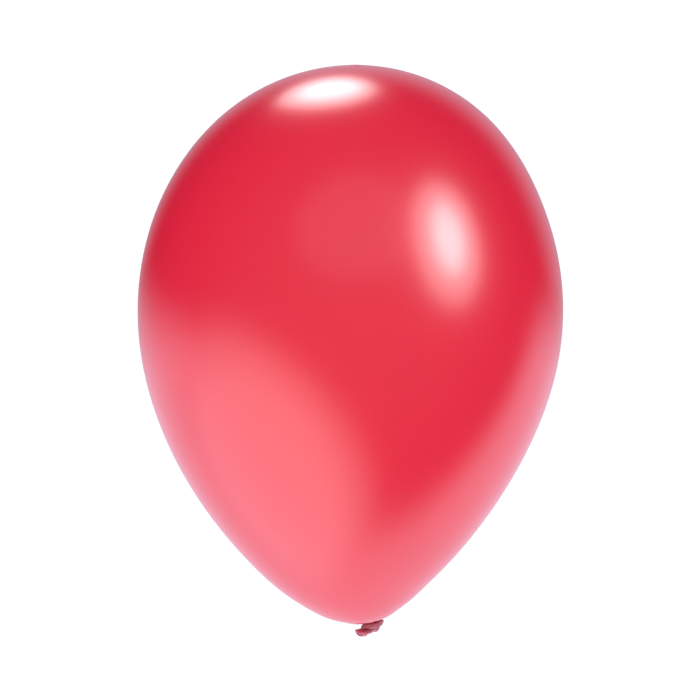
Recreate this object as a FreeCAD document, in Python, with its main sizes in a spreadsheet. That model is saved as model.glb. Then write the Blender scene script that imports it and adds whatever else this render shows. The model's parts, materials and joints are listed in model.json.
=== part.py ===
"""Inflated latex party balloon, tied off: film, neck, knot, tail and rolled lip.

Millimetres. The origin is the middle of the neck tie, the short waist between film and knot
where a ribbon goes. +Z runs up to the crown, along the film's long axis.
"""
import FreeCAD, Part
import math
import os
import Sketcher
from FreeCAD import Placement, Rotation, Vector

os.makedirs("parts", exist_ok=True)
doc = FreeCAD.newDocument("latex_balloon")

# ---------------------------------------------------------------- driving dimensions
SIZES = {
    # film: four tangent arcs from the base pole, where the neck is, to the crown pole
    "base_radius": 51.3,
    "base_span": 38.4,
    "flank_radius": 298.0,
    "flank_span": 34.0,
    "belly_radius": 185.3,
    "crown_radius": 129.0,
    "film_wall": 0.3,
    # the thick dip spot that the mould leaves at the crown
    "nipple_radius": 7.0,
    "nipple_height": 0.4,
    "nipple_clear": 0.02,
    # where the neck leaves the film: lean off the film's axis and the side it leans to
    "neck_lean": 16.0,
    "neck_turn": 17.0,
    "neck_gap": 3.2,
    # gather: the little funnel of pleated film above the tie
    "gather_radius": 8.5,
    "gather_edge": 0.3,
    "gather_base": 0.75,
    "gather_flank": 7.5,
    "gather_clear": 0.03,
    "pleat_height": 0.45,
    "pleat_root": 2.6,
    "pleat_top": 2.9,
    "pleat_width": 0.5,
    # neck stem: the waist of the tie and the ball it ends in
    "stem_radius": 3.3,
    "stem_top": 0.6,
    "stem_bottom": -0.5,
    "waist_depth": 0.25,
    "waist_half": 0.3,
    "ball_radius": 3.2,
    "flute_radius": 0.3,
    # knot: a loop of neck drawn tight round a core
    "loop_radius": 3.4,
    "loop_thick": 2.1,
    "loop_offset": 2.9,
    "loop_drop": 4.0,
    "loop_tilt": 15.0,
    "core_offset": 2.0,
    "core_drop": 5.0,
    "core_width": 3.4,
    "core_depth": 3.2,
    "core_height": 3.1,
    "socket_radius": 3.55,
    # tail: the flattened free end of the neck, and the rolled lip round its mouth
    "root_width": 5.5,
    "root_thick": 3.0,
    "mouth_width": 10.8,
    "mouth_thick": 2.8,
    "tail_length": 4.6,
    "tail_floor": 1.6,
    "tail_wall": 1.0,
    "bead_radius": 0.85,
}
TAIL_ROOT = Vector(-4.0, -1.3, -5.0)
TAIL_DIRECTION = Vector(-0.8, -0.6, 0.0)
TAIL_ROLL = 15.0
PLEATS = 16
FLUTES = 12

# the most of its full solid that each piece may keep once it is hollowed or cut
FILM_KEPT = 0.1
STEM_KEPT = 0.995
TAIL_KEPT = 0.98

sheet = doc.addObject("Spreadsheet::Sheet", "Sizes")
for row, (alias, number) in enumerate(SIZES.items(), start=1):
    sheet.set(f"A{row}", alias)
    sheet.set(f"B{row}", str(number))
    sheet.setAlias(f"B{row}", alias)
doc.recompute()


def size(alias):
    return float(sheet.get(alias))


# ---------------------------------------------------------------- sketch helpers
HORIZONTAL_AXIS, VERTICAL_AXIS = -1, -2
START, END, CENTRE = 1, 2, 3


def new_body(name):
    body = doc.addObject("PartDesign::Body", name)
    body.Label = name
    return body


def new_sketch(body, name, plane, raised=0.0):
    """A sketch on one of the body's own planes, raised along the plane's normal."""
    sketch = body.newObject("Sketcher::SketchObject", name)
    face = next(f for f in body.Origin.OriginFeatures if f.Role == plane)
    sketch.AttachmentSupport = [(face, "")]
    sketch.MapMode = "FlatFace"
    sketch.AttachmentOffset = Placement(Vector(0, 0, raised), Rotation())
    return sketch


def drive(sketch, constraint, expression):
    """Bind one dimension of the sketch to the sheet."""
    index = sketch.addConstraint(constraint)
    sketch.setExpression(f"Constraints[{index}]", expression)


def arc(sketch, centre, radius, start, end):
    """An arc in the sketch, from start to end degrees, anticlockwise."""
    circle = Part.Circle(Vector(centre[0], centre[1], 0), Vector(0, 0, 1), radius)
    return sketch.addGeometry(Part.ArcOfCircle(circle, math.radians(start), math.radians(end)))


def line(sketch, first, last):
    return sketch.addGeometry(Part.LineSegment(Vector(*first, 0), Vector(*last, 0)))


def join(sketch, first, first_end, second, second_end):
    sketch.addConstraint(Sketcher.Constraint("Coincident", first, first_end, second, second_end))


def revolve(body, sketch, name):
    turn = body.newObject("PartDesign::Revolution", name)
    turn.Profile = sketch
    turn.ReferenceAxis = (sketch, ["V_Axis"])
    turn.Angle = 360
    return turn


def pattern_round(body, feature, count, name):
    """Repeat a feature about the body's own vertical axis."""
    axis = next(f for f in body.Origin.OriginFeatures if f.Role == "Z_Axis")
    ring = body.newObject("PartDesign::PolarPattern", name)
    ring.Originals = [feature]
    ring.Axis = (axis, [""])
    ring.Angle = 360
    ring.Occurrences = count
    body.Tip = ring
    return ring


# ---------------------------------------------------------------- film outline
def film_arcs(inset):
    """The four arcs (centre, radius, start, end), base first, about the base arc's centre."""
    base, flank, belly, crown = (
        size(name) - inset
        for name in ("base_radius", "flank_radius", "belly_radius", "crown_radius")
    )
    base_end = -90 + size("base_span")
    flank_end = base_end + size("flank_span")

    def along(angle, distance):
        return distance * math.cos(math.radians(angle)), distance * math.sin(math.radians(angle))

    flank_shift = along(base_end, base - flank)
    belly_shift = along(flank_end, flank - belly)
    belly_centre = (flank_shift[0] + belly_shift[0], flank_shift[1] + belly_shift[1])
    belly_end = math.degrees(math.acos(-belly_centre[0] / (belly - crown)))
    crown_shift = along(belly_end, belly - crown)
    crown_centre = (0.0, belly_centre[1] + crown_shift[1])
    return [
        ((0.0, 0.0), base, -90, base_end),
        (flank_shift, flank, base_end, flank_end),
        (belly_centre, belly, flank_end, belly_end),
        (crown_centre, crown, belly_end, 90),
    ]


def film_sketch(body, name, inset, inset_cell):
    """Half the film's outline, closed along the axis, with its centre of base at the origin."""
    sketch = new_sketch(body, name, "XZ_Plane")
    arcs = film_arcs(inset)
    base, flank, belly, crown = (arc(sketch, *piece) for piece in arcs)
    top = arcs[3][0][1] + arcs[3][1]
    axis = line(sketch, (0, top), (0, -arcs[0][1]))
    join(sketch, base, CENTRE, HORIZONTAL_AXIS, START)
    sketch.addConstraint(Sketcher.Constraint("PointOnObject", base, START, VERTICAL_AXIS))
    for lower, upper in ((base, flank), (flank, belly), (belly, crown)):
        sketch.addConstraint(Sketcher.Constraint("Tangent", lower, END, upper, START))
    sketch.addConstraint(Sketcher.Constraint("PointOnObject", crown, CENTRE, VERTICAL_AXIS))
    sketch.addConstraint(Sketcher.Constraint("PointOnObject", crown, END, VERTICAL_AXIS))
    join(sketch, axis, START, crown, END)
    join(sketch, axis, END, base, START)
    for piece, geometry, alias in zip(
        arcs, (base, flank, belly, crown), ("base", "flank", "belly", "crown")
    ):
        radius = Sketcher.Constraint("Radius", geometry, piece[1])
        drive(sketch, radius, f"Sizes.{alias}_radius{inset_cell}")
    for geometry, alias in ((base, "base_span"), (flank, "flank_span")):
        span = Sketcher.Constraint("Angle", geometry, math.radians(size(alias)))
        drive(sketch, span, f"Sizes.{alias}")
    return sketch


# the neck's own frame: its z runs up into the film, square to the film where the neck leaves
neck_side = math.radians(size("neck_turn"))
neck_rotation = Rotation(
    Vector(math.sin(neck_side), -math.cos(neck_side), 0), size("neck_lean")
)
neck_frame = Placement(Vector(0, 0, 0), neck_rotation)
base_centre = neck_rotation.multVec(Vector(0, 0, size("base_radius") + size("neck_gap")))


def build_envelope():
    """The inflated film: a thin closed shell, standing in for a skin that is thinner still."""
    body = new_body("envelope")
    outer = film_sketch(body, "film_outside", 0.0, "")
    revolve(body, outer, "film_turned")
    doc.recompute()
    whole = body.Shape.Volume
    inner = film_sketch(body, "film_inside", size("film_wall"), " - Sizes.film_wall")
    hollow = body.newObject("PartDesign::Groove", "film_hollow")
    hollow.Profile = inner
    hollow.ReferenceAxis = (inner, ["V_Axis"])
    hollow.Angle = 360
    doc.recompute()
    if body.Shape.Volume > FILM_KEPT * whole:
        raise RuntimeError("the film is not hollow")
    body.Placement = Placement(base_centre, Rotation())
    return body


def build_crown_nipple():
    """The dip spot: a small lens of thicker latex on top of the crown."""
    body = new_body("crown_nipple")
    sketch = new_sketch(body, "nipple_section", "XZ_Plane")
    inner = size("crown_radius") + size("nipple_clear")
    reach = size("nipple_radius")
    rim = math.sqrt(inner**2 - reach**2)
    rise = inner + size("nipple_height") - rim
    outer = (reach**2 + rise**2) / (2 * rise)
    outer_centre = inner + size("nipple_height") - outer
    rim_angle = math.degrees(math.atan2(rim, reach))
    outer_angle = math.degrees(math.atan2(rim - outer_centre, reach))
    seat = arc(sketch, (0, 0), inner, rim_angle, 90)
    dome = arc(sketch, (0, outer_centre), outer, outer_angle, 90)
    axis = line(sketch, (0, inner + size("nipple_height")), (0, inner))
    join(sketch, seat, CENTRE, HORIZONTAL_AXIS, START)
    join(sketch, seat, START, dome, START)
    join(sketch, axis, START, dome, END)
    join(sketch, axis, END, seat, END)
    sketch.addConstraint(Sketcher.Constraint("PointOnObject", dome, CENTRE, VERTICAL_AXIS))
    sketch.addConstraint(Sketcher.Constraint("PointOnObject", dome, END, VERTICAL_AXIS))
    sketch.addConstraint(Sketcher.Constraint("PointOnObject", seat, END, VERTICAL_AXIS))
    drive(
        sketch,
        Sketcher.Constraint("Radius", seat, inner),
        "Sizes.crown_radius + Sizes.nipple_clear",
    )
    drive(
        sketch,
        Sketcher.Constraint("DistanceX", HORIZONTAL_AXIS, START, seat, START, reach),
        "Sizes.nipple_radius",
    )
    drive(
        sketch,
        Sketcher.Constraint("DistanceY", axis, END, axis, START, size("nipple_height")),
        "Sizes.nipple_height",
    )
    revolve(body, sketch, "nipple_turned")
    crown_height = film_arcs(0.0)[3][0][1]
    body.Placement = Placement(base_centre + Vector(0, 0, crown_height), Rotation())
    return body


def build_neck_gather():
    """The pleated funnel where the film narrows to the neck, seated on the film's base."""
    body = new_body("neck_gather")
    sketch = new_sketch(body, "gather_section", "XZ_Plane")
    seat_radius = size("base_radius") + size("gather_clear")
    seat_centre = size("base_radius") + size("neck_gap")
    wide, narrow = size("gather_radius"), size("stem_radius")
    base = size("gather_base")
    rim = seat_centre - math.sqrt(seat_radius**2 - wide**2)
    rim_angle = math.degrees(math.atan2(rim - seat_centre, wide))
    edge = rim - size("gather_edge")
    flank = size("gather_flank")
    chord = math.hypot(wide - narrow, edge - base)
    reach = math.sqrt(flank**2 - chord**2 / 4)
    middle = ((wide + narrow) / 2, (edge + base) / 2)
    flank_centre = (
        middle[0] + reach * (edge - base) / chord,
        middle[1] - reach * (wide - narrow) / chord,
    )
    first = math.degrees(math.atan2(edge - flank_centre[1], wide - flank_centre[0]))
    last = math.degrees(math.atan2(base - flank_centre[1], narrow - flank_centre[0]))
    seat = arc(sketch, (0, seat_centre), seat_radius, -90, rim_angle)
    lip = line(sketch, (wide, rim), (wide, edge))
    side = arc(sketch, flank_centre, flank, first, last)
    floor = line(sketch, (narrow, base), (0, base))
    axis = line(sketch, (0, base), (0, seat_centre - seat_radius))
    join(sketch, seat, END, lip, START)
    join(sketch, lip, END, side, START)
    join(sketch, side, END, floor, START)
    join(sketch, floor, END, axis, START)
    join(sketch, axis, END, seat, START)
    sketch.addConstraint(Sketcher.Constraint("Vertical", lip))
    sketch.addConstraint(Sketcher.Constraint("Horizontal", floor))
    for geometry, point in ((seat, CENTRE), (axis, START), (axis, END)):
        sketch.addConstraint(Sketcher.Constraint("PointOnObject", geometry, point, VERTICAL_AXIS))
    rows = (
        (("Radius", seat, seat_radius), "Sizes.base_radius + Sizes.gather_clear"),
        (("Radius", side, flank), "Sizes.gather_flank"),
        (
            ("DistanceY", HORIZONTAL_AXIS, START, seat, CENTRE, seat_centre),
            "Sizes.base_radius + Sizes.neck_gap",
        ),
        (("DistanceX", HORIZONTAL_AXIS, START, lip, START, wide), "Sizes.gather_radius"),
        (("DistanceX", HORIZONTAL_AXIS, START, floor, START, narrow), "Sizes.stem_radius"),
        (("DistanceY", HORIZONTAL_AXIS, START, floor, START, base), "Sizes.gather_base"),
        (("DistanceY", lip, END, lip, START, size("gather_edge")), "Sizes.gather_edge"),
    )
    for arguments, expression in rows:
        drive(sketch, Sketcher.Constraint(*arguments), expression)
    revolve(body, sketch, "gather_turned")
    doc.recompute()

    ridge = new_sketch(body, "pleat_section", "XZ_Plane")
    lift, root = size("pleat_height"), size("pleat_root")
    corners = [
        (root, size("pleat_top")),
        (root, base),
        (narrow, base),
        (narrow + lift, base + lift),
        (wide, edge),
    ]
    for number, corner in enumerate(corners):
        line(ridge, corner, corners[(number + 1) % len(corners)])
    for number in range(len(corners)):
        join(ridge, number, END, (number + 1) % len(corners), START)
    names = (
        ("Sizes.pleat_root", "Sizes.pleat_top"),
        ("Sizes.pleat_root", "Sizes.gather_base"),
        ("Sizes.stem_radius", "Sizes.gather_base"),
        ("Sizes.stem_radius + Sizes.pleat_height", "Sizes.gather_base + Sizes.pleat_height"),
        ("Sizes.gather_radius", None),
    )
    for number, (across, up) in enumerate(names):
        x, y = corners[number]
        place = Sketcher.Constraint("DistanceX", HORIZONTAL_AXIS, START, number, START, x)
        drive(ridge, place, across)
        height = Sketcher.Constraint("DistanceY", HORIZONTAL_AXIS, START, number, START, y)
        if up:
            drive(ridge, height, up)
        else:
            ridge.addConstraint(height)
    pleat = body.newObject("PartDesign::Pad", "pleat")
    pleat.Profile = ridge
    pleat.Midplane = True
    pleat.setExpression("Length", "Sizes.pleat_width")
    doc.recompute()
    pattern_round(body, pleat, PLEATS, "pleats")
    body.Placement = neck_frame
    return body


def build_neck_stem():
    """The waist where a ribbon is tied, ending in the ball that the knot rocks on."""
    body = new_body("neck_stem")
    sketch = new_sketch(body, "stem_section", "XZ_Plane")
    radius, top, bottom = size("stem_radius"), size("stem_top"), size("stem_bottom")
    waist, half = radius - size("waist_depth"), size("waist_half")
    ball = size("ball_radius")
    neck_of_ball = math.sqrt(ball**2 - bottom**2)
    corners = [
        (0, top),
        (radius, top),
        (radius, half),
        (waist, 0),
        (radius, -half),
        (radius, bottom),
        (neck_of_ball, bottom),
    ]
    sides = [line(sketch, a, b) for a, b in zip(corners, corners[1:])]
    start = math.degrees(math.atan2(bottom, neck_of_ball))
    round_end = arc(sketch, (0, 0), ball, -90, start)
    axis = line(sketch, (0, -ball), (0, top))
    for first, second in zip(sides, sides[1:]):
        join(sketch, first, END, second, START)
    join(sketch, sides[-1], END, round_end, END)
    join(sketch, round_end, START, axis, START)
    join(sketch, axis, END, sides[0], START)
    join(sketch, round_end, CENTRE, HORIZONTAL_AXIS, START)
    for point in (START, END):
        sketch.addConstraint(Sketcher.Constraint("PointOnObject", axis, point, VERTICAL_AXIS))
    sketch.addConstraint(Sketcher.Constraint("Horizontal", sides[0]))
    sketch.addConstraint(Sketcher.Constraint("Horizontal", sides[5]))
    sketch.addConstraint(Sketcher.Constraint("PointOnObject", sides[3], START, HORIZONTAL_AXIS))
    drive(sketch, Sketcher.Constraint("Radius", round_end, ball), "Sizes.ball_radius")
    across = (
        (1, "Sizes.stem_radius"),
        (2, "Sizes.stem_radius"),
        (3, "Sizes.stem_radius - Sizes.waist_depth"),
        (4, "Sizes.stem_radius"),
        (5, "Sizes.stem_radius"),
    )
    for number, expression in across:
        x = corners[number][0]
        place = Sketcher.Constraint("DistanceX", HORIZONTAL_AXIS, START, sides[number], START, x)
        drive(sketch, place, expression)
    upward = ((1, "Sizes.stem_top"), (2, "Sizes.waist_half"))
    for number, expression in upward:
        y = corners[number][1]
        place = Sketcher.Constraint("DistanceY", HORIZONTAL_AXIS, START, sides[number], START, y)
        drive(sketch, place, expression)
    downward = ((4, "Sizes.waist_half"), (5, "-Sizes.stem_bottom"))
    for number, expression in downward:
        y = -corners[number][1]
        place = Sketcher.Constraint("DistanceY", sides[number], START, HORIZONTAL_AXIS, START, y)
        drive(sketch, place, expression)
    revolve(body, sketch, "stem_turned")
    doc.recompute()
    solid_volume = body.Shape.Volume

    flute_sketch = new_sketch(body, "flute_section", "XY_Plane", size("stem_top"))
    circle = Part.Circle(Vector(radius, 0, 0), Vector(0, 0, 1), size("flute_radius"))
    flute_circle = flute_sketch.addGeometry(circle)
    flute_sketch.addConstraint(
        Sketcher.Constraint("PointOnObject", flute_circle, CENTRE, HORIZONTAL_AXIS)
    )
    drive(
        flute_sketch,
        Sketcher.Constraint("DistanceX", HORIZONTAL_AXIS, START, flute_circle, CENTRE, radius),
        "Sizes.stem_radius",
    )
    drive(
        flute_sketch,
        Sketcher.Constraint("Radius", flute_circle, size("flute_radius")),
        "Sizes.flute_radius",
    )
    flute = body.newObject("PartDesign::Pocket", "flute")
    flute.Profile = flute_sketch
    flute.setExpression("Length", "Sizes.stem_top - Sizes.stem_bottom")
    doc.recompute()
    pattern_round(body, flute, FLUTES, "flutes")
    doc.recompute()
    if body.Shape.Volume > STEM_KEPT * solid_volume:
        raise RuntimeError("the flutes cut nothing")
    body.Placement = neck_frame
    return body


# ---------------------------------------------------------------- knot
def sized(kind, name, cells, placement):
    """A Part primitive whose sizes are bound to the sheet."""
    shape = doc.addObject(kind, name)
    for prop, expression in cells.items():
        shape.setExpression(prop, expression)
    shape.Placement = neck_frame.multiply(placement)
    return shape


def cut(name, base, tool):
    result = doc.addObject("Part::Cut", name)
    result.Label = name
    result.Base = base
    result.Tool = tool
    return result


def build_knot():
    """The overhand knot: a fat loop drawn round a core, both hollowed for the stem's ball."""
    loop_place = Placement(
        Vector(size("loop_offset"), 0, -size("loop_drop")),
        Rotation(Vector(0, 1, 0), -size("loop_tilt")),
    )
    core_place = Placement(Vector(size("core_offset"), 0, -size("core_drop")), Rotation())
    ring = sized(
        "Part::Torus",
        "loop_ring",
        {"Radius1": "Sizes.loop_radius", "Radius2": "Sizes.loop_thick"},
        loop_place,
    )
    plug = sized(
        "Part::Ellipsoid",
        "core_plug",
        {
            "Radius1": "Sizes.core_height",
            "Radius2": "Sizes.core_width",
            "Radius3": "Sizes.core_depth",
        },
        core_place,
    )
    plug.Angle1 = -90
    plug.Angle2 = 90
    socket = sized(
        "Part::Sphere", "ball_socket", {"Radius": "Sizes.socket_radius"}, Placement()
    )
    loop = cut("knot_loop", ring, socket)
    squeezed = cut("core_squeezed", plug, ring)
    core = cut("knot_core", squeezed, socket)
    return [loop, core]


# ---------------------------------------------------------------- tail and lip
def stadium(sketch, width, thick, width_cell, thick_cell):
    """A closed band section: two straight sides and two round ends, centred."""
    end_radius = thick / 2
    reach = width / 2 - end_radius
    right = arc(sketch, (reach, 0), end_radius, -90, 90)
    left = arc(sketch, (-reach, 0), end_radius, 90, 270)
    upper = line(sketch, (reach, end_radius), (-reach, end_radius))
    lower = line(sketch, (-reach, -end_radius), (reach, -end_radius))
    for first, first_end, second, second_end in (
        (right, END, upper, START),
        (upper, END, left, START),
        (left, END, lower, START),
        (lower, END, right, START),
    ):
        sketch.addConstraint(
            Sketcher.Constraint("Tangent", first, first_end, second, second_end)
        )
    sketch.addConstraint(Sketcher.Constraint("Horizontal", upper))
    for geometry in (right, left):
        sketch.addConstraint(
            Sketcher.Constraint("PointOnObject", geometry, CENTRE, HORIZONTAL_AXIS)
        )
    drive(sketch, Sketcher.Constraint("Radius", right, end_radius), f"({thick_cell}) / 2")
    for first, second in (
        ((HORIZONTAL_AXIS, START), (right, CENTRE)),
        ((left, CENTRE), (HORIZONTAL_AXIS, START)),
    ):
        reach_constraint = Sketcher.Constraint("DistanceX", *first, *second, reach)
        drive(sketch, reach_constraint, f"({width_cell}) / 2 - ({thick_cell}) / 2")


def tail_placement():
    """Local x across the tail, y through its thickness and z along it, from the knot out."""
    level = TAIL_DIRECTION.cross(Vector(0, 0, 1))
    across = Rotation(TAIL_DIRECTION, -TAIL_ROLL).multVec(level)
    upright = TAIL_DIRECTION.cross(across)
    turned = Rotation(across, upright, TAIL_DIRECTION, "XZY")
    return neck_frame.multiply(Placement(TAIL_ROOT, turned))


def build_tail():
    """The flattened free end of the neck: a flared band with a shallow slit of a mouth."""
    body = new_body("tail")
    root = new_sketch(body, "root_section", "XY_Plane")
    stadium(root, size("root_width"), size("root_thick"), "Sizes.root_width", "Sizes.root_thick")
    mouth = new_sketch(body, "mouth_section", "XY_Plane", size("tail_length"))
    mouth.setExpression("AttachmentOffset.Base.z", "Sizes.tail_length")
    stadium(
        mouth, size("mouth_width"), size("mouth_thick"), "Sizes.mouth_width", "Sizes.mouth_thick"
    )
    band = body.newObject("PartDesign::AdditiveLoft", "band")
    band.Profile = root
    band.Sections = [mouth]
    band.Ruled = True
    doc.recompute()
    solid_volume = body.Shape.Volume

    def slit(name, raised, raised_cell):
        section = new_sketch(body, name, "XY_Plane", raised)
        section.setExpression("AttachmentOffset.Base.z", raised_cell)
        share = raised / size("tail_length")
        wall = 2 * size("tail_wall")
        width = size("root_width") * (1 - share) + size("mouth_width") * share - wall
        thick = size("root_thick") * (1 - share) + size("mouth_thick") * share - wall
        part = "Sizes.tail_floor / Sizes.tail_length" if share < 1 else "1"
        mixed = "Sizes.root_{0} * (1 - {1}) + Sizes.mouth_{0} * ({1}) - 2 * Sizes.tail_wall"
        stadium(section, width, thick, mixed.format("width", part), mixed.format("thick", part))
        return section

    inner_floor = slit("slit_floor", size("tail_floor"), "Sizes.tail_floor")
    inner_mouth = slit("slit_mouth", size("tail_length"), "Sizes.tail_length")
    hollow = body.newObject("PartDesign::SubtractiveLoft", "slit")
    hollow.Profile = inner_floor
    hollow.Sections = [inner_mouth]
    hollow.Ruled = True
    doc.recompute()
    if body.Shape.Volume > TAIL_KEPT * solid_volume:
        raise RuntimeError("the tail has no slit")
    body.Placement = tail_placement()
    return body


def build_lip():
    """The rolled bead round the mouth of the neck: a round cord in a flattened ring."""
    body = new_body("lip")
    spine = new_sketch(body, "lip_line", "XY_Plane", size("tail_length") + size("bead_radius"))
    spine.setExpression("AttachmentOffset.Base.z", "Sizes.tail_length + Sizes.bead_radius")
    wall = size("tail_wall")
    stadium(
        spine,
        size("mouth_width") - wall,
        size("mouth_thick") - wall,
        "Sizes.mouth_width - Sizes.tail_wall",
        "Sizes.mouth_thick - Sizes.tail_wall",
    )
    section = new_sketch(body, "bead_section", "YZ_Plane")
    across = size("mouth_thick") / 2 - wall / 2
    along = size("tail_length") + size("bead_radius")
    bead = section.addGeometry(
        Part.Circle(Vector(across, along, 0), Vector(0, 0, 1), size("bead_radius"))
    )
    drive(section, Sketcher.Constraint("Radius", bead, size("bead_radius")), "Sizes.bead_radius")
    drive(
        section,
        Sketcher.Constraint("DistanceX", HORIZONTAL_AXIS, START, bead, CENTRE, across),
        "Sizes.mouth_thick / 2 - Sizes.tail_wall / 2",
    )
    drive(
        section,
        Sketcher.Constraint("DistanceY", HORIZONTAL_AXIS, START, bead, CENTRE, along),
        "Sizes.tail_length + Sizes.bead_radius",
    )
    roll = body.newObject("PartDesign::AdditivePipe", "rolled_bead")
    roll.Profile = section
    roll.Spine = spine
    body.Placement = tail_placement()
    return body


# ---------------------------------------------------------------- build, check and write
nodes = [
    build_envelope(),
    build_crown_nipple(),
    build_neck_gather(),
    build_neck_stem(),
    *build_knot(),
    build_tail(),
    build_lip(),
]
doc.recompute()

for item in doc.Objects:
    if {"Invalid", "Error"} & set(item.State):
        raise RuntimeError(f"{item.Name} did not build: {item.State}")
for node in nodes:
    if node.Shape.isNull() or not node.Shape.isValid():
        raise RuntimeError(f"{node.Label} has no valid shape")
    node.Shape.exportStep(f"parts/{node.Label}.step")
    box = node.Shape.BoundBox
    print(
        f"{node.Label}: {len(node.Shape.Solids)} solid, {node.Shape.Volume:.2f} mm3, "
        f"x {box.XMin:.2f}..{box.XMax:.2f} y {box.YMin:.2f}..{box.YMax:.2f} "
        f"z {box.ZMin:.2f}..{box.ZMax:.2f}"
    )
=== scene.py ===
import json
import math

import bmesh
import bpy
from mathutils import Matrix, Vector, noise


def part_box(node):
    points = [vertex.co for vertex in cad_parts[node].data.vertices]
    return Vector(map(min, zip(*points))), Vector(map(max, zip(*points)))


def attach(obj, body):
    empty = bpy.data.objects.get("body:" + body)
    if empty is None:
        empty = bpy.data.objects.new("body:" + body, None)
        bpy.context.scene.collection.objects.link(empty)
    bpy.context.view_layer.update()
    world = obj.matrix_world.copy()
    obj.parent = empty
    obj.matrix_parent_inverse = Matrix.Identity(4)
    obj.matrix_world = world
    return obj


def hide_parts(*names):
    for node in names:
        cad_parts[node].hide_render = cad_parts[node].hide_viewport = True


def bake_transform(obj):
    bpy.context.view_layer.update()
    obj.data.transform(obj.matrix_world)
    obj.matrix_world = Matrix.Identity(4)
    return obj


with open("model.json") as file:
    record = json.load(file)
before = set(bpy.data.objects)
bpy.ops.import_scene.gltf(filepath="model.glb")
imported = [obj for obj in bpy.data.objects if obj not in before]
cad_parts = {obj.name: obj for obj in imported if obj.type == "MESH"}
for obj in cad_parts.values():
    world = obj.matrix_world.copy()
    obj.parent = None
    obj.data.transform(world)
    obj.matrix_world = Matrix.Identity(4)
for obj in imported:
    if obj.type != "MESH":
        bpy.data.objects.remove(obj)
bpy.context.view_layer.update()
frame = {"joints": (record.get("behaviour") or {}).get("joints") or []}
scene = bpy.context.scene


# ---------------------------------------------------------------- camera
# A long lens a little above the middle of the balloon, looking slightly down on it.
film_low, film_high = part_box("envelope")
film_middle = (film_low + film_high) / 2

camera_data = bpy.data.cameras.new("camera")
camera_data.sensor_width = 36.0
camera_data.lens = 140.4
camera_data.clip_end = 100.0
camera = bpy.data.objects.new("camera", camera_data)
scene.collection.objects.link(camera)
scene.camera = camera
camera_height = math.radians(10.0)
camera_distance = 1.8
aim_drop = 0.001
look_at = film_middle + Vector((0.0, 0.0, -aim_drop))
towards_camera = Vector((0.0, -math.cos(camera_height), math.sin(camera_height)))
camera.location = look_at + camera_distance * towards_camera
camera.rotation_euler = (-towards_camera).to_track_quat("-Z", "Y").to_euler()
scene.view_settings.view_transform = "Standard"


# ---------------------------------------------------------------- studio
# A white sweep far below the balloon, and even light from all round. Three soft boxes show as
# highlights on its skin: one above from behind, one to the right and a faint one in front. White
# board low on the left and behind shows as the pale lower part of the skin.
floor_half_width, floor_drop = 40.0, 0.6
floor_mesh = bpy.data.meshes.new("floor")
floor_bm = bmesh.new()
bmesh.ops.create_grid(floor_bm, x_segments=1, y_segments=1, size=floor_half_width)
bmesh.ops.translate(floor_bm, verts=floor_bm.verts, vec=(0.0, 0.0, -floor_drop))
floor_bm.to_mesh(floor_mesh)
floor_bm.free()
floor = bpy.data.objects.new("floor", floor_mesh)
scene.collection.objects.link(floor)
floor.visible_glossy = False
floor.visible_diffuse = False
floor_paint = bpy.data.materials.new("white_sweep")
floor_paint.use_nodes = True
floor_shader = floor_paint.node_tree.nodes["Principled BSDF"]
floor_shader.inputs["Base Color"].default_value = (1.0, 1.0, 1.0, 1.0)
floor_shader.inputs["Roughness"].default_value = 1.0
floor_shader.inputs["Specular IOR Level"].default_value = 0.0
floor_mesh.materials.append(floor_paint)


def studio_direction(azimuth, elevation):
    """Unit vector from the balloon: azimuth 0 is towards the camera and grows to the right."""
    side, up = math.radians(azimuth), math.radians(elevation)
    return Vector((math.sin(side) * math.cos(up), -math.cos(side) * math.cos(up), math.sin(up)))


box_distance = 3.0
oval_share = math.pi / 4


def soft_box(name, azimuth, elevation, width, height, radiance, turn=0.0):
    """An oval soft box that faces the balloon. Width and height are the angles it fills."""
    light = bpy.data.lights.new(name, "AREA")
    light.shape = "ELLIPSE"
    light.size = 2 * box_distance * math.tan(math.radians(width / 2))
    light.size_y = 2 * box_distance * math.tan(math.radians(height / 2))
    light.energy = radiance * math.pi * light.size * light.size_y * oval_share
    lamp = bpy.data.objects.new(name, light)
    scene.collection.objects.link(lamp)
    out = studio_direction(azimuth, elevation)
    place = Matrix.Translation(film_middle + box_distance * out)
    roll = Matrix.Rotation(math.radians(turn), 4, out)
    lamp.matrix_world = place @ roll @ out.to_track_quat("Z", "Y").to_matrix().to_4x4()
    lamp.visible_camera = False
    lamp.visible_diffuse = False


# A box is brighter in its middle, as a diffuser lit from behind is.
soft_box("top_box_middle", -168, 54, 18, 20, 4.4)
soft_box("top_box_edge", -167, 54, 27, 34, 3.4)
soft_box("right_box_middle", 60, 27, 18, 24, 5.6, turn=-14)
soft_box("right_box_edge", 59, 26, 38, 44, 2.2, turn=-14)
soft_box("front_box", 4, 40, 62, 44, 0.26)

world = bpy.data.worlds.new("studio")
scene.world = world
world.use_nodes = True
world.cycles.sampling_method = "NONE"
studio_nodes = world.node_tree.nodes
studio_links = world.node_tree.links
studio_nodes.clear()


def studio_node(kind, **settings):
    made = studio_nodes.new(kind)
    for key, value in settings.items():
        setattr(made, key, value)
    return made


def studio_math(operation, first, second):
    """A Math node whose two inputs are numbers or other nodes' outputs."""
    made = studio_node("ShaderNodeMath", operation=operation)
    for socket, value in zip(made.inputs, (first, second)):
        if isinstance(value, (int, float)):
            socket.default_value = value
        else:
            studio_links.new(value, socket)
    return made.outputs[0]


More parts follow.
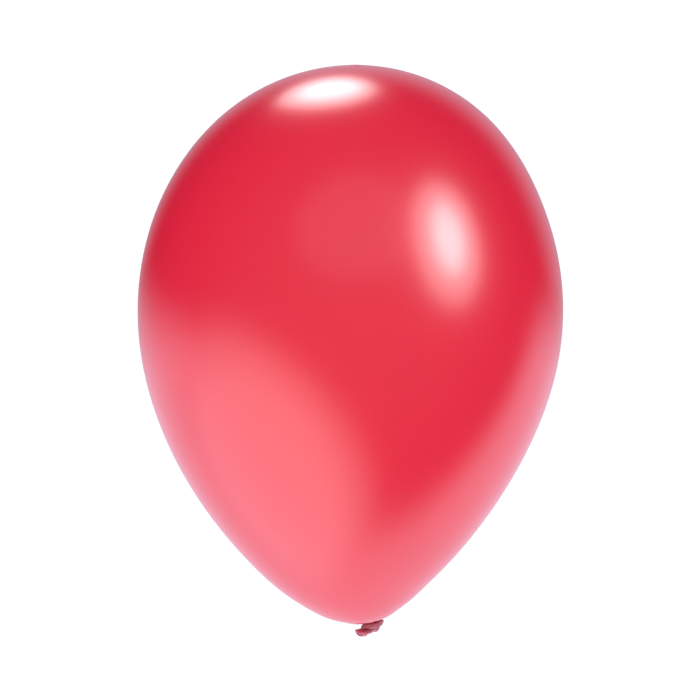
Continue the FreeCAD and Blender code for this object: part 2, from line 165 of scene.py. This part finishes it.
def studio_ramp(value, start, end, low, high):
    """Goes smoothly from low to high as value goes from start to end."""
    made = studio_node("ShaderNodeMapRange", interpolation_type="SMOOTHSTEP")
    studio_links.new(value, made.inputs["Value"])
    made.inputs["From Min"].default_value = start
    made.inputs["From Max"].default_value = end
    made.inputs["To Min"].default_value = low
    made.inputs["To Max"].default_value = high
    return made.outputs["Result"]


def studio_side(normal):
    """How far a direction lies to the side that normal points to."""
    made = studio_node("ShaderNodeVectorMath", operation="DOT_PRODUCT")
    studio_links.new(look.outputs["Generated"], made.inputs[0])
    made.inputs[1].default_value = normal
    return made.outputs["Value"]


look = studio_node("ShaderNodeTexCoord")
down = studio_side((0.0, 0.0, -1.0))
back = studio_side((0.0, 1.0, 0.0))
left_board_side = studio_side(Vector((-0.58, -0.22, -0.78)).normalized())
left_board = studio_ramp(left_board_side, 0.56, 0.92, 0.0, 1.6)
low_board_side = studio_side(Vector((-0.25, 1.0, -0.47)).normalized())
low_board = studio_math(
    "MULTIPLY",
    studio_ramp(low_board_side, 0.02, 0.38, 0.0, 1.0),
    studio_ramp(down, -0.02, 0.3, 0.0, 1.1),
)
rear_wall_side = studio_side(Vector((0.15, 1.0, 0.0)).normalized())
rear_wall = studio_ramp(rear_wall_side, 0.66, 1.0, 0.0, 0.6)
boards = studio_math("MAXIMUM", left_board, low_board)
dark_room = 0.01
seen_in_gloss = studio_math("MAXIMUM", studio_math("MAXIMUM", boards, rear_wall), dark_room)
path = studio_node("ShaderNodeLightPath")
gloss_part = studio_math("MULTIPLY", path.outputs["Is Glossy Ray"], seen_in_gloss)
even_light = studio_ramp(back, -1.0, 1.0, 1.42, 0.72)
diffuse_part = studio_math("MULTIPLY", path.outputs["Is Diffuse Ray"], even_light)
level = studio_math(
    "ADD", studio_math("ADD", gloss_part, diffuse_part), path.outputs["Is Camera Ray"]
)
# The light from behind is a little cooler than the light from the front.
cool = studio_node("ShaderNodeMix", data_type="RGBA")
cool.inputs["A"].default_value = (1.0, 0.98, 0.92, 1.0)
cool.inputs["B"].default_value = (0.92, 0.94, 1.14, 1.0)
studio_links.new(studio_ramp(back, -1.0, 1.0, 0.0, 1.0), cool.inputs["Factor"])
lit = studio_node("ShaderNodeMix", data_type="RGBA")
lit.inputs["B"].default_value = (1.0, 1.0, 1.0, 1.0)
studio_links.new(path.outputs["Is Camera Ray"], lit.inputs["Factor"])
studio_links.new(cool.outputs["Result"], lit.inputs["A"])
glow = studio_node("ShaderNodeBackground")
studio_links.new(lit.outputs["Result"], glow.inputs["Color"])
studio_links.new(level, glow.inputs["Strength"])
studio_out = studio_node("ShaderNodeOutputWorld")
studio_links.new(glow.outputs[0], studio_out.inputs["Surface"])


# ---------------------------------------------------------------- film
# The skin that the air stretches: one dip of rubber latex a few hundredths of a millimetre
# thick, with a pearl pigment. It narrows at the bottom into a pleated throat and the waist of
# the neck, and ends in the knot that shuts it.
MM = 0.001
neck_up = Vector(next(j["axis"] for j in frame["joints"] if j["name"] == "neck_twist"))
lean_angle = math.acos(neck_up.z)
lean_axis = Vector((0.0, 0.0, 1.0)).cross(neck_up).normalized()
base_radius = 51.3
base_centre_up = base_radius + 3.2
base_centre = neck_up * base_centre_up
film_top = film_high.z / MM

# the outline's arcs, from the crown down, and the slopes in degrees where one eases into the next
crown_radius, belly_radius, flank_radius = 128.7, 186.4, 325.3
belly_slope, flank_slope, base_slope = 55.2, 111.6, 140.3
belly_ease, flank_ease, base_ease = 15, 18, 8
throat_width = 11.0


def smooth(value, start, end):
    """0 before start, 1 after end, and an easy rise between."""
    share = min(1.0, max(0.0, (value - start) / (end - start)))
    return share * share * (3.0 - 2.0 * share)


def film_curve_radius(slope):
    """Radius of the outline where its outward direction is slope degrees off straight up."""
    belly = smooth(slope, belly_slope - belly_ease, belly_slope + belly_ease)
    flank = smooth(slope, flank_slope - flank_ease, flank_slope + flank_ease)
    base = smooth(slope, base_slope - base_ease, base_slope + base_ease)
    radius = crown_radius + (belly_radius - crown_radius) * belly
    radius += (flank_radius - belly_radius) * flank
    return radius + (base_radius - flank_radius) * base


def film_outline():
    """(distance from the axis, height) down the film, from the crown to the throat.

    It walks down the outline in small steps and keeps a point every spacing, then spreads what
    the walk misses the foot of the base by over the whole outline.
    """
    slope, out, height = 0.0, 0.0, film_top
    walked, kept = 0.0, [(0.0, film_top, 0.0)]
    step, spacing, widest_spacing = 0.1, 1.0, 2.4
    while slope < 180.0:
        turn = math.degrees(step / film_curve_radius(slope))
        middle = math.radians(slope + turn / 2)
        out += step * math.cos(middle)
        height -= step * math.sin(middle)
        slope += turn
        walked += step
        if walked >= spacing:
            kept.append((out, height, slope))
            walked = 0.0
            spacing = min(widest_spacing, 0.6 + 0.06 * max(out, 0.0))
    spare_out, spare_up = out, height - (base_centre.z - base_radius)
    outline = []
    for across, up, angle in kept:
        share = (1.0 - math.cos(math.radians(angle))) / 2
        outline.append((across - spare_out * share, up - spare_up * share, angle))
    throat_slope = 180.0 - math.degrees(math.asin(throat_width / base_radius))
    return [(across, up) for across, up, angle in outline if angle < throat_slope - 0.4]


def curve_between(first, first_pull, second, second_pull, count):
    """Points of an easy curve between two points, pulled by two handles."""
    points = []
    for number in range(count):
        t = number / count
        s = 1.0 - t
        weights = (s**3, 3 * s * s * t, 3 * s * t * t, t**3)
        points.append(
            tuple(
                sum(w * p[i] for w, p in zip(weights, (first, first_pull, second_pull, second)))
                for i in (0, 1)
            )
        )
    return points


def finish_piece(name, bm, paint):
    """Smooth, closed mesh with its faces outwards, in metres, as an object at the origin."""
    bmesh.ops.recalc_face_normals(bm, faces=bm.faces)
    for face in bm.faces:
        face.smooth = True
    bmesh.ops.scale(bm, vec=(MM, MM, MM), verts=bm.verts)
    mesh = bpy.data.meshes.new(name)
    bm.to_mesh(mesh)
    bm.free()
    mesh.materials.append(paint)
    piece = bpy.data.objects.new(name, mesh)
    scene.collection.objects.link(piece)
    return piece


def turned(outline, steps):
    """A bmesh of an outline of (distance, height) points spun once round the upright axis."""
    bm = bmesh.new()
    chain = [bm.verts.new((across, 0.0, up)) for across, up in outline]
    for first, second in zip(chain, chain[1:]):
        bm.edges.new((first, second))
    bmesh.ops.spin(
        bm,
        geom=bm.verts[:] + bm.edges[:],
        cent=(0.0, 0.0, 0.0),
        axis=(0.0, 0.0, 1.0),
        angle=2 * math.pi,
        steps=steps,
        use_merge=True,
    )
    bmesh.ops.remove_doubles(bm, verts=bm.verts, dist=1e-4)
    bmesh.ops.recalc_face_normals(bm, faces=bm.faces)
    bm.normal_update()
    return bm


base_drop = base_centre_up - base_centre.z
straight_film = [(across, up + base_drop) for across, up in film_outline()]
throat_angle = math.asin(throat_width / base_radius)
throat = (throat_width, base_centre_up - base_radius * math.cos(throat_angle))
throat_handle, waist_handle = 4.6, 2.0
throat_pull = (throat[0] - throat_handle, throat[1] - throat_handle * math.tan(throat_angle))
waist_radius = 3.05
waist = (waist_radius, 0.0)
waist_pull = (waist_radius, waist_handle)
stem_ball = 3.2
ball_turns = [math.radians(angle) for angle in range(-12, -90, -6)]
neck_outline = (
    curve_between(throat, throat_pull, waist, waist_pull, count=28)
    + [waist]
    + [(stem_ball * math.cos(a), stem_ball * math.sin(a)) for a in ball_turns]
    + [(0.0, -stem_ball)]
)
film_bm = turned(straight_film + neck_outline, steps=256)
pleat_height, pleat_limit = 0.42, 36.0


def pleat(around, away):
    """Height of the gathered film's pleats, biggest at the throat and lost 35 mm out."""
    wander = around + 0.13 * math.sin(2 * around + 0.7) + 0.08 * math.sin(5 * around + 1.9)
    ridges = 0.50 * math.cos(13 * wander + 0.4) + 0.28 * math.cos(19 * wander + 2.1)
    ridges += 0.22 * math.cos(6 * wander + 1.2)
    reach = 24.0 + 10.0 * math.sin(3 * around + 0.5)
    fade = smooth(away, reach, 4.5) ** 2 * (0.45 + 0.55 * smooth(away, 3.0, 5.0))
    return pleat_height * ridges * fade


def film_bend(up):
    """How far the film leans aside at this height: no balloon is quite straight."""
    crown_lean = 3.6 * smooth(up, 268.0, 400.0)
    flank_sag = -1.1 * math.exp(-(((up - 95.0) / 65.0) ** 2))
    base_lean = 3.0 * smooth(up, 36.0, 2.0)
    return crown_lean + flank_sag + base_lean + 0.3


for vert in film_bm.verts:
    away = math.hypot(vert.co.x, vert.co.y)
    if away < pleat_limit and vert.co.z < base_centre_up:
        vert.co += vert.normal * pleat(math.atan2(vert.co.y, vert.co.x), away)
# The neck leans over and the film stays upright: the base turns about its own centre between
# them. Angles are from the neck, seen from that centre.
neck_edge, lean_end, bend_end = 9.0, 40.0, 27.0
base_lift = 0.9
for vert in film_bm.verts:
    spot = vert.co - Vector((0.0, 0.0, base_centre_up))
    from_neck = math.degrees(math.atan2(math.hypot(spot.x, spot.y), -spot.z))
    share = 1.0 - smooth(from_neck, neck_edge, lean_end)
    placed = base_centre + Matrix.Rotation(lean_angle * share, 3, lean_axis) @ spot
    placed.x += film_bend(placed.z) * smooth(from_neck, neck_edge, bend_end)
    beside_neck = smooth(abs(placed.x), 8.0, 20.0) * smooth(from_neck, 60.0, 28.0)
    placed.z += base_lift * beside_neck
    vert.co = placed


# the pearl's mica gives a stronger gloss than bare rubber has
pearl_index = 2.0
roughness_spread = 0.015


def pearl_latex(name, colour, deep_colour, roughness, mica):
    """Pearl pigmented latex: clouds of pigment, a fine sparkle of mica, deeper where thick."""
    paint = bpy.data.materials.new(name)
    paint.use_nodes = True
    nodes, links = paint.node_tree.nodes, paint.node_tree.links
    shader = nodes["Principled BSDF"]
    place = nodes.new("ShaderNodeTexCoord")
    clouds = nodes.new("ShaderNodeTexNoise")
    clouds.inputs["Scale"].default_value = 16.0
    clouds.inputs["Detail"].default_value = 3.0
    links.new(place.outputs["Object"], clouds.inputs["Vector"])
    flakes = nodes.new("ShaderNodeTexNoise")
    flakes.inputs["Scale"].default_value = 1400.0
    flakes.inputs["Detail"].default_value = 1.0
    links.new(place.outputs["Object"], flakes.inputs["Vector"])
    pigment = nodes.new("ShaderNodeMix")
    pigment.data_type = "RGBA"
    pigment.inputs["A"].default_value = (*colour, 1.0)
    pigment.inputs["B"].default_value = (*deep_colour, 1.0)
    depth = nodes.new("ShaderNodeMapRange")
    depth.inputs["From Min"].default_value = 0.35
    depth.inputs["From Max"].default_value = 0.75
    depth.inputs["To Max"].default_value = 0.22
    links.new(clouds.outputs["Fac"], depth.inputs["Value"])
    far = nodes.new("ShaderNodeVectorMath")
    far.operation = "LENGTH"
    links.new(place.outputs["Object"], far.inputs[0])
    near_neck = nodes.new("ShaderNodeMapRange")
    near_neck.interpolation_type = "SMOOTHSTEP"
    near_neck.inputs["From Min"].default_value = 0.0045
    near_neck.inputs["From Max"].default_value = 0.011
    near_neck.inputs["To Min"].default_value = 1.0
    near_neck.inputs["To Max"].default_value = 0.0
    links.new(far.outputs["Value"], near_neck.inputs["Value"])
    thick = nodes.new("ShaderNodeMath")
    thick.operation = "MAXIMUM"
    sparkle = nodes.new("ShaderNodeMath")
    sparkle.operation = "MULTIPLY_ADD"
    sparkle.inputs[1].default_value = mica
    links.new(flakes.outputs["Fac"], sparkle.inputs[0])
    links.new(depth.outputs["Result"], sparkle.inputs[2])
    links.new(sparkle.outputs[0], thick.inputs[0])
    links.new(near_neck.outputs["Result"], thick.inputs[1])
    links.new(thick.outputs[0], pigment.inputs["Factor"])
    links.new(pigment.outputs["Result"], shader.inputs["Base Color"])
    satin = nodes.new("ShaderNodeMapRange")
    satin.inputs["To Min"].default_value = roughness - roughness_spread
    satin.inputs["To Max"].default_value = roughness + roughness_spread
    links.new(clouds.outputs["Fac"], satin.inputs["Value"])
    links.new(satin.outputs["Result"], shader.inputs["Roughness"])
    shader.inputs["IOR"].default_value = pearl_index
    return paint


film_paint = pearl_latex(
    "pearl_film", (0.745, 0.0052, 0.036), (0.625, 0.0048, 0.036), roughness=0.245, mica=0.10
)
film = finish_piece("film", film_bm, film_paint)
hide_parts("envelope", "neck_gather", "neck_stem")
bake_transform(film)


# ---------------------------------------------------------------- crown spot
# The thick spot of latex that gathers at the tip of the mould as it is lifted out of the dip.
# It is part of the same skin, and feathers out into it.
spot_radius = 7.0
spot_height = 0.34
spot_proud, spot_sunk = 0.03, 0.05
spot_steps = 14
crown_x, crown_y = base_centre.x + film_bend(film_top), base_centre.y


def crown_height(away):
    """Height of the film this far from the middle of the crown."""
    return film_top - crown_radius + math.sqrt(crown_radius**2 - away**2)


spot_shares = [number / spot_steps for number in range(spot_steps + 1)]
spot_top = [
    (spot_radius * share, spot_height * (1.0 - smooth(share, 0.1, 1.0)) + spot_proud)
    for share in spot_shares
]
spot_under = [(spot_radius * share, -spot_sunk) for share in reversed(spot_shares)]
spot_bm = turned(spot_top + spot_under, steps=64)
for vert in spot_bm.verts:
    away = math.hypot(vert.co.x, vert.co.y)
    edge = 1.0 + 0.06 * noise.noise(vert.co.normalized() * 1.7)
    up = vert.co.z + crown_height(away * edge)
    vert.co = Vector((vert.co.x * edge + crown_x, vert.co.y * edge + crown_y, up))
spot_paint = pearl_latex(
    "pearl_film_thick", (0.69, 0.0052, 0.036), (0.60, 0.0048, 0.036), roughness=0.25, mica=0.15
)
crown_spot = finish_piece("crown_spot", spot_bm, spot_paint)
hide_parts("crown_nipple")
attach(crown_spot, "film")


# ---------------------------------------------------------------- knot loop
# The turn of neck that is drawn tight round the rest: soft rubber tube pulled down to a
# twisted strand with creases along it.
neck_place = Matrix.Rotation(lean_angle, 4, lean_axis)
loop_radius, loop_left_reach, loop_thick = 3.4, 8.8, 1.95
loop_middle = Vector((2.7, 0.0, -3.0))
loop_right_rise, loop_left_rise, loop_front_rise = 1.3, 0.8, 0.6


def ring_of(radius, thick, around_steps, section_steps):
    """A bmesh ring of round section, about the upright axis."""
    bm = bmesh.new()
    bmesh.ops.create_circle(
        bm,
        segments=section_steps,
        radius=thick,
        matrix=Matrix.Translation((radius, 0.0, 0.0)) @ Matrix.Rotation(math.pi / 2, 4, "X"),
    )
    bmesh.ops.spin(
        bm,
        geom=bm.verts[:] + bm.edges[:],
        cent=(0.0, 0.0, 0.0),
        axis=(0.0, 0.0, 1.0),
        angle=2 * math.pi,
        steps=around_steps,
        use_merge=True,
    )
    bmesh.ops.remove_doubles(bm, verts=bm.verts, dist=1e-4)
    bmesh.ops.recalc_face_normals(bm, faces=bm.faces)
    bm.normal_update()
    return bm


def loop_line(around):
    """Middle of the strand: short to the right, drawn out to the left, both ends up."""
    side = math.cos(around)
    reach = loop_radius if side > 0 else loop_left_reach
    rise = loop_right_rise * side if side > 0 else -loop_left_rise * side
    rise -= loop_front_rise * math.sin(around)
    return loop_middle + Vector((reach * side, loop_radius * math.sin(around), rise))


# noise_vector would otherwise be seeded from the clock
noise.seed_set(3)
loop_bm = ring_of(loop_radius, thick=1.0, around_steps=140, section_steps=56)
crease_depth, loop_left_thinning, loop_unevenness = 0.14, 0.35, 0.25
for vert in loop_bm.verts:
    around = math.atan2(vert.co.y, vert.co.x)
    section = math.atan2(vert.co.z, math.hypot(vert.co.x, vert.co.y) - loop_radius)
    here, ahead = loop_line(around), loop_line(around + 0.02)
    out = (ahead - here).cross(Vector((0.0, 0.0, 1.0))).normalized()
    over = out.cross(ahead - here).normalized()
    crease = math.cos(4 * section + 2 * around + 0.8 * math.sin(around))
    crease += 0.5 * math.cos(7 * section - 3 * around)
    thick = loop_thick + crease_depth * crease
    thick -= loop_left_thinning * smooth(-math.cos(around), 0.2, 1.0)
    point = here + thick * (math.cos(section) * out + math.sin(section) * over)
    vert.co = point + loop_unevenness * noise.noise_vector(point * 0.4)
loop_bm.transform(neck_place)
tied_paint = pearl_latex(
    "unstretched_latex", (0.56, 0.115, 0.19), (0.40, 0.075, 0.13), roughness=0.38, mica=0.25
)
knot_loop = finish_piece("knot_turn", loop_bm, tied_paint)
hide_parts("knot_loop")
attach(knot_loop, "knot")


# ---------------------------------------------------------------- knot core
# The bight of neck that the turn squeezes, showing as a puckered nub underneath.
core_middle = Vector((1.2, 0.0, -4.5))
core_across, core_through, core_up = 3.4, 3.2, 3.1
pucker_depth, core_unevenness = 0.035, 0.35
core_bm = bmesh.new()
bmesh.ops.create_uvsphere(core_bm, u_segments=72, v_segments=48, radius=1.0)
for vert in core_bm.verts:
    around = math.atan2(vert.co.y, vert.co.x)
    pucker = math.cos(6 * around + 0.6) + 0.6 * math.cos(11 * around + 2.0)
    reach = 1.0 + pucker_depth * pucker * (1.0 - abs(vert.co.z) ** 4)
    across, through = vert.co.x * core_across * reach, vert.co.y * core_through * reach
    vert.co = Vector((across, through, vert.co.z * core_up))
    vert.co += vert.co.normalized() * core_unevenness * noise.noise(vert.co * 0.5)
core_bm.transform(neck_place @ Matrix.Translation(core_middle))
knot_core = finish_piece("knot_nub", core_bm, tied_paint)
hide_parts("knot_core")
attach(knot_core, "knot")


# ---------------------------------------------------------------- tail
# The free end of the neck, a flat tube that comes out of the knot and flares to the mouth.
# It has its own place in the knot: local x across it, y through it, z along it.
tail_root = Vector((-4.0, -1.3, -5.0))
tail_along = Vector((-0.8, -0.6, 0.0))
tail_roll = Matrix.Rotation(math.radians(-15.0), 3, tail_along)
tail_across = tail_roll @ tail_along.cross(Vector((0.0, 0.0, 1.0)))
tail_through = tail_along.cross(tail_across)
tail_axes = Matrix((tail_across, tail_through, tail_along)).transposed().to_4x4()
tail_place = neck_place @ Matrix.Translation(tail_root) @ tail_axes
tail_length = 4.6
tail_start = -2.6
root_half_width, mouth_half_width = 3.3, 4.5
root_half_thick, mouth_half_thick = 1.6, 1.25
fold_depth, mouth_bow, mouth_lift = 0.32, 1.8, 0.8


def tail_size(along):
    """Half width and half thickness of the tail, this far from the knot."""
    share = smooth(along, -1.5, tail_length + 1.0)
    width = root_half_width + (mouth_half_width - root_half_width) * share
    thick = root_half_thick + (mouth_half_thick - root_half_thick) * share
    return width, thick


def blunted(turn, power):
    """A sine or cosine whose curve is squared off, for a flat tube with blunt edges."""
    return math.copysign(abs(turn) ** power, turn)


def tail_point(along, around, inset):
    """A point of the tail's wall, inset from its outside: flat, with folds that run along it."""
    width, thick = tail_size(along)
    x = (width - inset) * blunted(math.cos(around), 0.65)
    y = (thick - inset) * blunted(math.sin(around), 0.8)
    fold = fold_depth * math.sin(0.95 * x + 0.25 * along + 0.4) * smooth(along, -2.0, 3.0)
    flare = smooth(along, -1.0, tail_length)
    bow = mouth_bow * (1.0 - ((x - 1.2) / 5.0) ** 2) * flare
    return Vector((x, y + fold - mouth_lift * flare, along + bow))


# The outline's first number is the share of the width: 1 is the outside and 0.5 the inside.
tail_wall = 0.45
tail_outline = [(0.0, tail_start)]
tail_outline += [(1.0, tail_start + 0.3 + 0.2 * n) for n in range(35)]
tail_outline += [(0.5, tail_length), (0.5, 3.4), (0.5, 2.4), (0.4, 1.9), (0.0, 1.7)]
tail_bm = turned(tail_outline, steps=120)
for vert in tail_bm.verts:
    around = math.atan2(vert.co.y, vert.co.x)
    away = math.hypot(vert.co.x, vert.co.y)
    along = vert.co.z
    inset = tail_wall * 2 * (1.0 - max(away, 0.5))
    shrink = min(1.0, away / 0.5)
    creases = 0.10 * math.sin(9 * around + 0.5 * along) + 0.07 * math.sin(16 * around + 1.3)
    placed = tail_point(along, around, inset - creases * smooth(along, 6.0, -1.0))
    vert.co = Vector((placed.x * shrink, placed.y * shrink, placed.z))
tail_bm.transform(tail_place)
tail = finish_piece("tail_tube", tail_bm, tied_paint)
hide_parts("tail")
tail_pivot = Vector(next(j["pos_m"] for j in frame["joints"] if j["name"] == "tail_flex"))
tail_world = (neck_place.to_3x3() @ tail_along).normalized()
bend_end = tail_pivot + tail_world * 1.6 * MM
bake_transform(tail)


# ---------------------------------------------------------------- lip
# The mouth of the neck, rolled over itself into a bead before the latex was cured.
lip_thick = 0.82
lip_beyond, lip_inset = 0.55, 0.35
lip_ring_radius = 10.0
lip_bm = ring_of(lip_ring_radius, thick=1.0, around_steps=180, section_steps=28)
for vert in lip_bm.verts:
    around = math.atan2(vert.co.y, vert.co.x)
    section = math.atan2(vert.co.z, math.hypot(vert.co.x, vert.co.y) - lip_ring_radius)
    here = tail_point(tail_length + lip_beyond, around, lip_inset)
    ahead = tail_point(tail_length + lip_beyond, around + 0.02, lip_inset)
    along_lip = (ahead - here).normalized()
    out = along_lip.cross(Vector((0.0, 0.0, 1.0))).normalized()
    over = out.cross(along_lip)
    roll = 1.0 + 0.07 * math.cos(2 * section + 3 * around) + 0.08 * math.sin(5 * around + 1.0)
    vert.co = here + lip_thick * roll * (math.cos(section) * out + math.sin(section) * over)
lip_bm.transform(tail_place)
lip = finish_piece("rolled_lip", lip_bm, tied_paint)
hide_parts("lip")
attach(lip, "tail")
